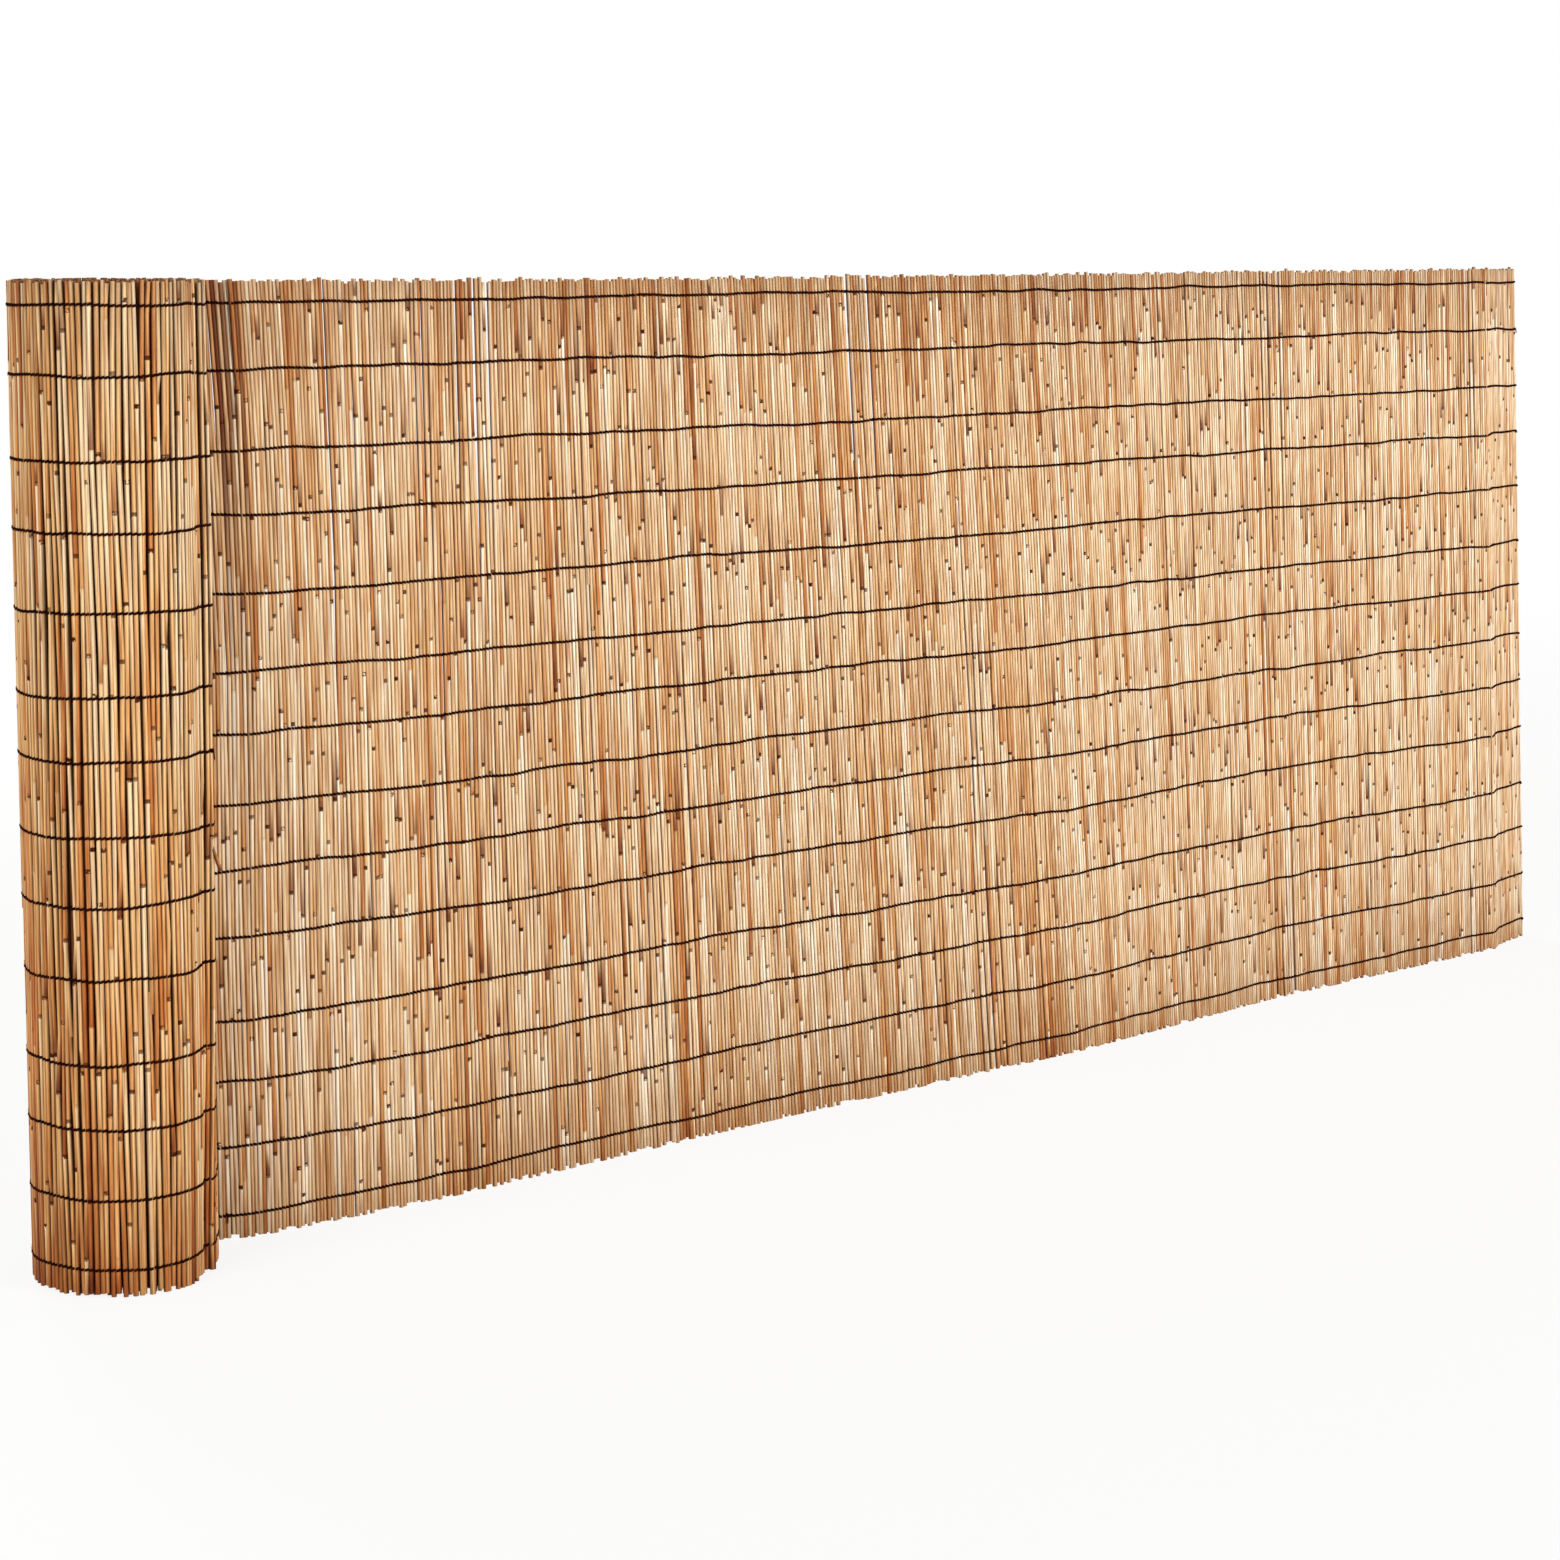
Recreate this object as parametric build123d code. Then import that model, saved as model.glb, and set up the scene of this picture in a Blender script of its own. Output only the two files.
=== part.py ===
from build123d import *
import math
import os
import random

# Reed screening mat, partly unrolled: a roll standing on its end and an open sheet that leaves its back.
# Millimetres. Z is up, the sheet runs along +X, and the origin is under the middle of the whole mat.

# Mat
MAT_HEIGHT = 1000.0
MAT_LENGTH = 5000.0
STEM_DIAMETER_MIN = 4.3
STEM_DIAMETER_MAX = 5.0
STEM_SIDES = 5
STEM_GAP_MIN = 0.5
STEM_GAP_MAX = 0.85
RAGGED_TOP = 8.0
RAGGED_BOTTOM = 5.0
STANDING_STEM_EVERY = 6

# Binding wire: one strand on each face of the mat, heights measured from the floor
WIRE_THICKNESS = 1.0
WIRE_BAND = 2.0
WIRE_HEIGHTS = [975, 907, 825, 757, 678, 597, 533, 459, 391, 320, 234, 168, 98, 27]
HOOP_SIDES = 24
KNOT_SIZE = 3.2

# Roll
ROLL_RADIUS = 95.0
SHEET_CLEARANCE_ANGLE = 22.0
GROOVE_WIDTH = 1.6
GROOVE_DEPTH = 4.0
GROOVE_POINTS_PER_TURN = 20
CORE_END_INSET = 4.0

# Open sheet: it leaves the back of the roll at this heading. Each run has its length, the turn that
# follows it and the lean of the stems at its end, in degrees: their tops lean towards the roll.
LEAVING_HEADING = -39.9
SHEET_RUNS = [
    (80.0, 19.9, 0.0),
    (40.0, 15.4, 0.0),
    (200.0, 5.4, 0.8),
    (510.0, -1.8, 3.7),
    (450.0, 5.0, 4.9),
    (425.0, -4.4, 3.6),
    (488.0, 28.0, 3.6),
    (30.0, -16.7, 3.6),
    (85.0, 0.0, 3.6),
]

# Sizes that follow
STEM_RADIUS_MAX = STEM_DIAMETER_MAX / 2
MAT_THICKNESS = STEM_DIAMETER_MAX + 2 * WIRE_THICKNESS
REED_CIRCLE = ROLL_RADIUS - MAT_THICKNESS / 2
CORE_RADIUS = ROLL_RADIUS - MAT_THICKNESS
SHEET_LENGTH = sum(length for length, _, _ in SHEET_RUNS)
ROLLED_AREA = (MAT_LENGTH - SHEET_LENGTH) * MAT_THICKNESS
BORE_RADIUS = math.sqrt(ROLL_RADIUS**2 - ROLLED_AREA / math.pi)
CORE_TURNS = (CORE_RADIUS - BORE_RADIUS) / MAT_THICKNESS
LEAVING_ANGLE = LEAVING_HEADING + 90.0


def sheet_corners():
    """Corners of the sheet's middle plane at half its height, as x, y and lean, with the roll's axis at 0, 0."""
    heading = math.radians(LEAVING_HEADING)
    angle = math.radians(LEAVING_ANGLE)
    x, y = REED_CIRCLE * math.cos(angle), REED_CIRCLE * math.sin(angle)
    corners = [(x, y, 0.0)]
    for length, turn, lean in SHEET_RUNS:
        x += length * math.cos(heading)
        y += length * math.sin(heading)
        corners.append((x, y, lean))
        heading += math.radians(turn)
    return corners


def plan_at(corners, height):
    """Plan line of the sheet at a height, where the stems lean along X."""
    rise = height - MAT_HEIGHT / 2
    return [(x - rise * math.tan(math.radians(lean)), y) for x, y, lean in corners]


def parallel(corners, offset):
    """The same line of corners moved to its left by offset, with mitred corners."""
    moved = []
    for i, (x, y) in enumerate(corners):
        before = corners[max(i - 1, 0)]
        after = corners[min(i + 1, len(corners) - 1)]
        start = math.atan2(y - before[1], x - before[0]) if i > 0 else None
        end = math.atan2(after[1] - y, after[0] - x) if i < len(corners) - 1 else start
        start = end if start is None else start
        middle = (start + end) / 2
        reach = offset / math.cos((end - start) / 2)
        moved.append((x - reach * math.sin(middle), y + reach * math.cos(middle)))
    return moved


def along(corners, distance):
    """Plan point, heading and lean in degrees at a distance along the sheet."""
    for (x0, y0, lean0), (x1, y1, lean1) in zip(corners, corners[1:]):
        run = math.hypot(x1 - x0, y1 - y0)
        if distance <= run:
            part = distance / run
            heading = math.degrees(math.atan2(y1 - y0, x1 - x0))
            return x0 + part * (x1 - x0), y0 + part * (y1 - y0), heading, lean0 + part * (lean1 - lean0)
        distance -= run
    raise ValueError("past the end of the sheet")


def stem(rng, diameter, standing, lean):
    """One stem with its own cut ends, turned by its lean about the middle of the mat's height."""
    tilt = math.radians(lean)
    foot = diameter / 2 * math.sin(tilt)
    low = foot + (0.0 if standing else rng.uniform(0.0, RAGGED_BOTTOM))
    high = MAT_HEIGHT - foot - (0.0 if standing else rng.uniform(0.0, RAGGED_TOP))
    middle = MAT_HEIGHT / 2
    below, above = (middle - low) / math.cos(tilt), (high - middle) / math.cos(tilt)
    section = RegularPolygon(diameter / 2, STEM_SIDES, rotation=rng.uniform(0, 360 / STEM_SIDES))
    upright = Pos(0, 0, -below) * extrude(section, below + above)
    return Pos(0, 0, middle) * Rot(0, -lean, 0) * upright


def row_of_stems(seed, length, place):
    """Stems side by side over a length. For a distance along it, place gives the location and the lean."""
    rng = random.Random(seed)
    stems = []
    diameter = rng.uniform(STEM_DIAMETER_MIN, STEM_DIAMETER_MAX)
    distance = diameter / 2 + STEM_GAP_MIN
    while distance + diameter / 2 <= length:
        standing = len(stems) % STANDING_STEM_EVERY == 0
        location, lean = place(distance)
        stems.append(location * stem(rng, diameter, standing, lean))
        following = rng.uniform(STEM_DIAMETER_MIN, STEM_DIAMETER_MAX)
        distance += (diameter + following) / 2 + rng.uniform(STEM_GAP_MIN, STEM_GAP_MAX)
        diameter = following
    return stems


def open_sheet_reeds(corners):
    """The stems of the open sheet."""
    def place(distance):
        x, y, _, lean = along(corners, distance)
        return Pos(x, y, 0), lean

    return row_of_stems(5, SHEET_LENGTH, place)


def outer_turn_reeds():
    """The stems of the outer turn, from the sheet round to where the mat goes in under it."""
    sweep_angle = 360.0 - SHEET_CLEARANCE_ANGLE

    def place(distance):
        angle = LEAVING_ANGLE + math.degrees(distance / REED_CIRCLE)
        return Rot(0, 0, angle) * Pos(REED_CIRCLE, 0, 0), 0.0

    return row_of_stems(11, math.radians(sweep_angle) * REED_CIRCLE, place)


def spiral_groove():
    """Plan face of the gap between the turns, a spiral that steps in by one mat thickness a turn."""
    steps = int((CORE_TURNS - 1) * GROOVE_POINTS_PER_TURN)
    outer, inner = [], []
    for step in range(steps + 1):
        turns = step / GROOVE_POINTS_PER_TURN
        angle = 2 * math.pi * turns
        radius = CORE_RADIUS - MAT_THICKNESS * (0.5 + turns)
        for side, half_width in ((outer, GROOVE_WIDTH / 2), (inner, -GROOVE_WIDTH / 2)):
            side.append(((radius + half_width) * math.cos(angle), (radius + half_width) * math.sin(angle)))
    return make_face(Polyline(*outer, *reversed(inner), close=True))


def rolled_turns():
    """The inner turns as one turned solid with its bore and a spiral cut into both ends."""
    low, high = 0.0, MAT_HEIGHT - CORE_END_INSET
    ring = Circle(CORE_RADIUS) - Circle(BORE_RADIUS)
    body = extrude(ring, high - low)
    groove = extrude(spiral_groove(), GROOVE_DEPTH)
    body -= groove
    body -= Pos(0, 0, high - GROOVE_DEPTH) * groove
    return Rot(0, 0, LEAVING_ANGLE) * body


def strand(corners, inner_offset):
    """Plan face of one strand along the sheet, from an offset out to one wire thickness further."""
    outward = math.copysign(WIRE_THICKNESS, inner_offset)
    near = parallel(corners, inner_offset)
    far = parallel(corners, inner_offset + outward)
    return make_face(Polyline(*near, *reversed(far), close=True))


def wire_hoop():
    """Plan face of the outer strand round the roll, open where the sheet leaves it."""
    sides = {"side_count": HOOP_SIDES, "major_radius": False, "rotation": 180 / HOOP_SIDES}
    hoop = RegularPolygon(ROLL_RADIUS, **sides) - RegularPolygon(ROLL_RADIUS - WIRE_THICKNESS, **sides)
    reach = 2 * ROLL_RADIUS
    width = reach * math.tan(math.radians(SHEET_CLEARANCE_ANGLE))
    hoop -= make_face(Polyline((0, 0), (reach, 0), (reach, -width), close=True))
    return Rot(0, 0, LEAVING_ANGLE) * hoop


def wire_row(corners, height):
    """One wire row: a strand on each face of the sheet, knotted at its edge, and the hoop round the roll."""
    line = plan_at(corners, height)
    back = strand(line, STEM_RADIUS_MAX)
    front = strand(line[1:], -STEM_RADIUS_MAX)
    heading = along(corners, SHEET_LENGTH - KNOT_SIZE)[2]
    knot = Pos(*line[-1]) * Rot(0, 0, heading) * Pos(KNOT_SIZE / 2, 0) * Rectangle(KNOT_SIZE, MAT_THICKNESS)
    band = extrude(wire_hoop() + back + knot + front, WIRE_BAND)
    return Pos(0, 0, height - WIRE_BAND / 2) * band


os.makedirs("parts", exist_ok=True)
corners = sheet_corners()
nodes = {
    "rolled_turns": [rolled_turns()],
    "outer_turn_reeds": outer_turn_reeds(),
    "open_sheet_reeds": open_sheet_reeds(corners),
}
for number, height in enumerate(WIRE_HEIGHTS, start=1):
    nodes[f"binding_wire_row_{number:02d}"] = [wire_row(corners, height)]

boxes = [piece.bounding_box() for pieces in nodes.values() for piece in pieces]
middle_x = (min(box.min.X for box in boxes) + max(box.max.X for box in boxes)) / 2
middle_y = (min(box.min.Y for box in boxes) + max(box.max.Y for box in boxes)) / 2
for name, pieces in nodes.items():
    moved = [Pos(-middle_x, -middle_y, 0) * piece for piece in pieces]
    export_step(Compound(children=moved), f"parts/{name}.step")

print("sheet length", round(SHEET_LENGTH, 1), "bore radius", round(BORE_RADIUS, 2))
print("roll axis at", round(-middle_x, 2), round(-middle_y, 2))
print("stems", len(nodes["outer_turn_reeds"]), len(nodes["open_sheet_reeds"]))
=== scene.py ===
"""Dresses the partly unrolled reed screening mat: stems, binding wire, finishes, floor, light, camera."""
import logging
import math
import random
from dataclasses import dataclass, field
from enum import Enum
from functools import partial
from typing import Any, Callable, Iterable, Sequence

import bpy
from mathutils import Euler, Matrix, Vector, noise


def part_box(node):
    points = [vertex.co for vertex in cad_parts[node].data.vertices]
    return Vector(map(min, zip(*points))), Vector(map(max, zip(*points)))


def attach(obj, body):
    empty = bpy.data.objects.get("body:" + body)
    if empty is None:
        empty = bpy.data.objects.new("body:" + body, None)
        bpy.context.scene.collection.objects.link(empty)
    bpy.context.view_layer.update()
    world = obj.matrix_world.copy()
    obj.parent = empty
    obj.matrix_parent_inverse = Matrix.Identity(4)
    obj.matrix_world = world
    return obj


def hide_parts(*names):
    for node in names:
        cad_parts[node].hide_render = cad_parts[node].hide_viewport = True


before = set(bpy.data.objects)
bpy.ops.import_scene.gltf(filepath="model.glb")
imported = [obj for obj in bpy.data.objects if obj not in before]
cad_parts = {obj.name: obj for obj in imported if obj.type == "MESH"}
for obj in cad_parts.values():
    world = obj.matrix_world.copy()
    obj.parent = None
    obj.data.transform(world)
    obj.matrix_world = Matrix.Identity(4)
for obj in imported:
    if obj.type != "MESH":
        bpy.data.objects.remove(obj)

logging.basicConfig(level=logging.INFO, format="%(message)s")
log = logging.getLogger("reed_mat")

MM = 0.001
MM_PER_METRE = 1000.0
WHITE = "#FFFFFF"
Point = tuple[float, float, float]
Pair = tuple[float, float]

# The numbers that each point of a stem carries. The last one marks the rim and the hollow of a cut end.
STEM_NUMBERS = ("reed_radius", "shade", "node", "tone", "mark", "stain", "cut")
CUT_RIM = 1.0
CUT_HOLLOW = 2.0


def linear(hex_colour: str) -> tuple[float, float, float, float]:
    """Turn an sRGB hex colour into linear RGBA.

    Args:
        hex_colour: Six hex digits after a hash.

    Returns:
        Linear red, green, blue and an alpha of one.
    """
    channels = [int(hex_colour[i:i + 2], 16) / 255 for i in (1, 3, 5)]
    rgb = [c / 12.92 if c <= 0.04045 else ((c + 0.055) / 1.055) ** 2.4 for c in channels]
    return (rgb[0], rgb[1], rgb[2], 1.0)


def in_use(sockets: Iterable[bpy.types.NodeSocket], name: str = "") -> bpy.types.NodeSocket:
    """Find the first socket that is in use, or the first of a name."""
    return next(socket for socket in sockets if socket.enabled and name in ("", socket.name))


def add_node(tree: bpy.types.NodeTree, kind: str, inputs: dict[Any, Any] | Sequence[Any] = (),
             **settings: Any) -> bpy.types.Node:
    """Add a node, set its properties, and fill or link its inputs.

    Args:
        tree: The tree that gets the node.
        kind: The node's type name.
        inputs: A value, socket or node for each input, by name or number, or else in order. A node stands
            for its first output in use.
        settings: Values for the node's properties.

    Returns:
        The new node.
    """
    node = tree.nodes.new(kind)
    for name, value in settings.items():
        setattr(node, name, value)
    for key, value in inputs.items() if isinstance(inputs, dict) else enumerate(inputs):
        socket = node.inputs[key] if isinstance(key, int) else in_use(node.inputs, key)
        if isinstance(value, bpy.types.Node):
            value = in_use(value.outputs)
        if isinstance(value, bpy.types.NodeSocket):
            tree.links.new(value, socket)
        else:
            socket.default_value = value
    return node


def blank_material(name: str) -> bpy.types.Material:
    """Make a material with an empty node tree.

    Args:
        name: The material's name.

    Returns:
        The material.
    """
    material = bpy.data.materials.new(name)
    material.use_nodes = True
    material.node_tree.nodes.clear()
    return material


def colour_stops(ramp: bpy.types.Node, positions: Sequence[float], colours: Sequence[str]) -> None:
    """Set a colour ramp's stops.

    Args:
        ramp: A colour ramp node.
        positions: Where the stops are, in order.
        colours: Their hex colours.
    """
    elements = ramp.color_ramp.elements
    while len(elements) < len(positions):
        elements.new(1.0)
    for element, position, colour in zip(elements, positions, colours):
        element.position = position
        element.color = linear(colour)


def triangles(obj: bpy.types.Object) -> int:
    """Count the triangles of a mesh object."""
    return sum(len(polygon.vertices) - 2 for polygon in obj.data.polygons)


class Layer(Enum):
    """Which stems are made, which sets how much detail they get."""

    OPEN_SHEET = "open_sheet"
    OUTER_TURN = "outer_turn"
    INNER_TURNS = "inner_turns"


@dataclass(frozen=True)
class ReedFinish:
    """Peeled natural-looking reed: a waxy, fibrous straw skin, satin, palest just under each node, where the
    pale band is partly the skin's own and partly a painted highlight on the node's swelling.

    The skin's colours go from pale to brown. Ranges are where a pattern starts and is full.
    """

    name: str
    skin: tuple[str, str, str, str, str]
    flank: str
    node: str = "#3E160A"
    sheath: str = "#602C12"
    streak: str = "#B98550"
    # The inside of a cut end's hollow is coloured dark: painted shade.
    hollow_shade: str = "#6B4A2C"
    rim: str = "#D8BC8C"
    skin_stops: tuple[float, ...] = (0.06, 0.34, 0.58, 0.8, 1.0)
    shade_share: float = 0.22
    blotch_share: float = 0.4
    streak_share: float = 0.75
    streak_range: Pair = (0.45, 0.66)
    flank_shade_share: float = 0.92
    ring_range: Pair = (0.7, 0.82)
    scrap_range: Pair = (0.36, 0.42)
    scrap_scale: float = 330.0
    fibre_mm: float = 1.8
    fibre_squash: float = 0.02
    blotch_mm: float = 4.2
    blotch_squash: float = 0.12
    detail: float = 3.0
    fibre_relief: float = 0.6
    relief_height: float = 0.2 * MM
    relief_strength: float = 0.35
    roughness: float = 0.5
    sheen: float = 0.14
    ior: float = 1.47

    def material(self) -> bpy.types.Material:
        """Build the reed material.

        Returns:
            A material that reads the stems' own attributes.
        """
        material = blank_material(self.name)
        add = partial(add_node, material.node_tree)
        place = add("ShaderNodeTexCoord").outputs["Object"]
        own = {name: add("ShaderNodeAttribute", attribute_name=name).outputs["Fac"]
               for name in ("tone", "shade", "flank", "stain", "node", "mark", "cut")}

        # Fibres run along the stem. Real ones are 0.3 mm wide, drawn coarser here so that they show.
        along = add("ShaderNodeMapping", {"Vector": place, "Scale": (1.0, 1.0, self.fibre_squash)})
        fibre = add("ShaderNodeTexNoise",
                    {"Vector": along, "Scale": MM_PER_METRE / self.fibre_mm, "Detail": self.detail})
        # Weather blotches are 4 mm wide and a few centimetres long.
        longer = add("ShaderNodeMapping", {"Vector": place, "Scale": (1.0, 1.0, self.blotch_squash)})
        blotch = add("ShaderNodeTexNoise",
                     {"Vector": longer, "Scale": MM_PER_METRE / self.blotch_mm, "Detail": self.detail})

        ripe = add("ShaderNodeMath", (own["shade"], self.shade_share, own["tone"]), operation="MULTIPLY_ADD")
        patchy = add("ShaderNodeMath", (blotch, self.blotch_share, -self.blotch_share / 2),
                     operation="MULTIPLY_ADD")
        warmth = add("ShaderNodeMath", (ripe, patchy), operation="ADD")
        skin_tone = add("ShaderNodeValToRGB", (warmth,))
        colour_stops(skin_tone, self.skin_stops, self.skin)
        low, high = self.streak_range
        streak = add("ShaderNodeMapRange",
                     {"Value": fibre, "From Min": low, "From Max": high, "To Max": self.streak_share})
        streaked = add("ShaderNodeMix", {"Factor": streak, "A": skin_tone, "B": linear(self.streak)},
                       data_type="RGBA", blend_type="MULTIPLY")
        # Painted shade: between two stems the skin is darker than on the face.
        sided = add("ShaderNodeMath", (own["flank"], self.flank_shade_share), operation="MULTIPLY")
        flank_shaded = add("ShaderNodeMix", {"Factor": sided, "A": streaked, "B": linear(self.flank)},
                      data_type="RGBA")
        # Sheath stains, and the painted shade of the roll on the first sheet stems, both take the sheath's
        # brown.
        stain_and_edge_shade = add("ShaderNodeMix", {"Factor": own["stain"], "A": flank_shaded, "B": linear(self.sheath)},
                      data_type="RGBA")
        # A node is a broken ring, 4 mm high, dark where the old leaf sheath sat, in scraps of about 3 mm.
        low, high = self.ring_range
        ring = add("ShaderNodeMapRange", {"Value": own["node"], "From Min": low, "From Max": high})
        scraps = add("ShaderNodeTexNoise", {"Vector": place, "Scale": self.scrap_scale, "Detail": 1.0})
        low, high = self.scrap_range
        broken = add("ShaderNodeMapRange", {"Value": scraps, "From Min": low, "From Max": high})
        marked = add("ShaderNodeMath", (ring, own["mark"]), operation="MULTIPLY")
        scar = add("ShaderNodeMath", (marked, broken), operation="MULTIPLY")
        scarred = add("ShaderNodeMix", {"Factor": scar, "A": stain_and_edge_shade, "B": linear(self.node)},
                      data_type="RGBA")
        # Cut ends: a pale woody rim round the hollow, which is coloured dark as painted shade.
        is_cut = add("ShaderNodeMath", (own["cut"], CUT_RIM / 2), operation="GREATER_THAN")
        is_hollow = add("ShaderNodeMath", (own["cut"], (CUT_RIM + CUT_HOLLOW) / 2), operation="GREATER_THAN")
        end_grain = add("ShaderNodeMix", {"Factor": is_hollow, "A": linear(self.rim), "B": linear(self.hollow_shade)},
                        data_type="RGBA")
        colour = add("ShaderNodeMix", {"Factor": is_cut, "A": scarred, "B": end_grain}, data_type="RGBA")

        relief = add("ShaderNodeMath", (fibre, self.fibre_relief, blotch), operation="MULTIPLY_ADD")
        bump = add("ShaderNodeBump",
                   {"Strength": self.relief_strength, "Distance": self.relief_height, "Height": relief})
        # The scars are dull, the skin round them keeps a little wax.
        sheen = add("ShaderNodeMath", (scar, -self.sheen, self.sheen), operation="MULTIPLY_ADD")
        skin = add("ShaderNodeBsdfPrincipled",
                   {"Base Color": colour, "Roughness": self.roughness, "IOR": self.ior,
                    "Specular IOR Level": sheen, "Normal": bump})
        add("ShaderNodeOutputMaterial", {"Surface": skin})
        return material


# The roll is the ripest and most golden and the open sheet paler straw. The inner turns lie in the roll's
# shade and get a darker copy, which is painted shade.
ROLL_REED = ReedFinish("peeled_reed_roll", ("#F3D9AF", "#E7B87A", "#D28B4A", "#B16128", "#743413"), "#421808")
SHEET_REED = ReedFinish("peeled_reed_sheet", ("#FAEFD8", "#EED3AA", "#DBAC76", "#C27C40", "#84461F"),
                        "#582C13")
SHADED_INSIDE_REED = ReedFinish("peeled_reed_inside", ("#CD975F", "#B47A44", "#965C2E", "#78411D", "#562B12"),
                         "#4C1E0A")


@dataclass(frozen=True)
class WireFinish:
    """Annealed tie wire: soft drawn steel, dull and brown-black under its oxide, with patches of rust."""

    name: str = "annealed_tie_wire"
    oxide: str = "#1A0602"
    rust: str = "#3A1408"
    rust_range: Pair = (0.42, 0.75)
    patch_mm: float = 6.0
    detail: float = 4.0
    relief_height: float = 0.1 * MM
    relief_strength: float = 0.3
    roughness: float = 0.8
    sheen: float = 0.02

    def material(self) -> bpy.types.Material:
        """Build the wire material.

        Returns:
            A dark, dull material with rust patches.
        """
        material = blank_material(self.name)
        add = partial(add_node, material.node_tree)
        place = add("ShaderNodeTexCoord").outputs["Object"]
        patches = add("ShaderNodeTexNoise",
                      {"Vector": place, "Scale": MM_PER_METRE / self.patch_mm, "Detail": self.detail})
        ramp = add("ShaderNodeValToRGB", (patches,))
        colour_stops(ramp, self.rust_range, (self.oxide, self.rust))
        bump = add("ShaderNodeBump",
                   {"Strength": self.relief_strength, "Distance": self.relief_height, "Height": patches})
        # The oxide covers the metal, so the skin has no metal shine and hardly any gloss.
        skin = add("ShaderNodeBsdfPrincipled",
                   {"Base Color": ramp, "Metallic": 0.0, "Specular IOR Level": self.sheen,
                    "Roughness": self.roughness, "Normal": bump})
        add("ShaderNodeOutputMaterial", {"Surface": skin})
        return material


def seen_rays(tree: bpy.types.NodeTree) -> bpy.types.Node:
    """Give one for camera, glossy and transmission rays, else zero.

    Args:
        tree: The material or world tree.

    Returns:
        The node with that number.
    """
    path = add_node(tree, "ShaderNodeLightPath").outputs
    first = add_node(tree, "ShaderNodeMath", (path["Is Camera Ray"], path["Is Glossy Ray"]),
                     operation="MAXIMUM")
    return add_node(tree, "ShaderNodeMath", (first, path["Is Transmission Ray"]), operation="MAXIMUM")


@dataclass(frozen=True)
class FloorFinish:
    """Matt white studio floor: seen from the camera it is nearly white, and it keeps a soft shadow."""

    name: str = "matt_studio_floor"
    colour: str = "#F2F1EE"
    own_white: float = 0.86
    fade: Pair = (2.0, 6.0)

    def material(self) -> bpy.types.Material:
        """Build the floor material.

        Returns:
            A diffuse material that is lifted to white for camera, mirror and clear rays.
        """
        material = blank_material(self.name)
        add = partial(add_node, material.node_tree)
        matt = add("ShaderNodeBsdfDiffuse", {"Color": linear(self.colour)})
        white = add("ShaderNodeEmission", {"Color": linear(WHITE), "Strength": 1.0})
        place = add("ShaderNodeTexCoord").outputs["Object"]
        away = add("ShaderNodeVectorMath", (place,), operation="LENGTH")
        near, far = self.fade
        lift = add("ShaderNodeMapRange",
                   {"Value": away, "From Min": near, "From Max": far, "To Min": self.own_white,
                    "To Max": 1.0},
                   interpolation_type="SMOOTHSTEP")
        factor = add("ShaderNodeMath", (seen_rays(material.node_tree), lift), operation="MULTIPLY")
        mix = add("ShaderNodeMixShader", (factor, matt, white))
        add("ShaderNodeOutputMaterial", {"Surface": mix})
        return material


@dataclass
class PlanSpot:
    """A place on the mat's middle line: plan position at half height, heading, lean and bow."""

    x: float
    y: float
    heading: float
    lean: float
    bow_x: float = 0.0
    bow_y: float = 0.0


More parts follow.
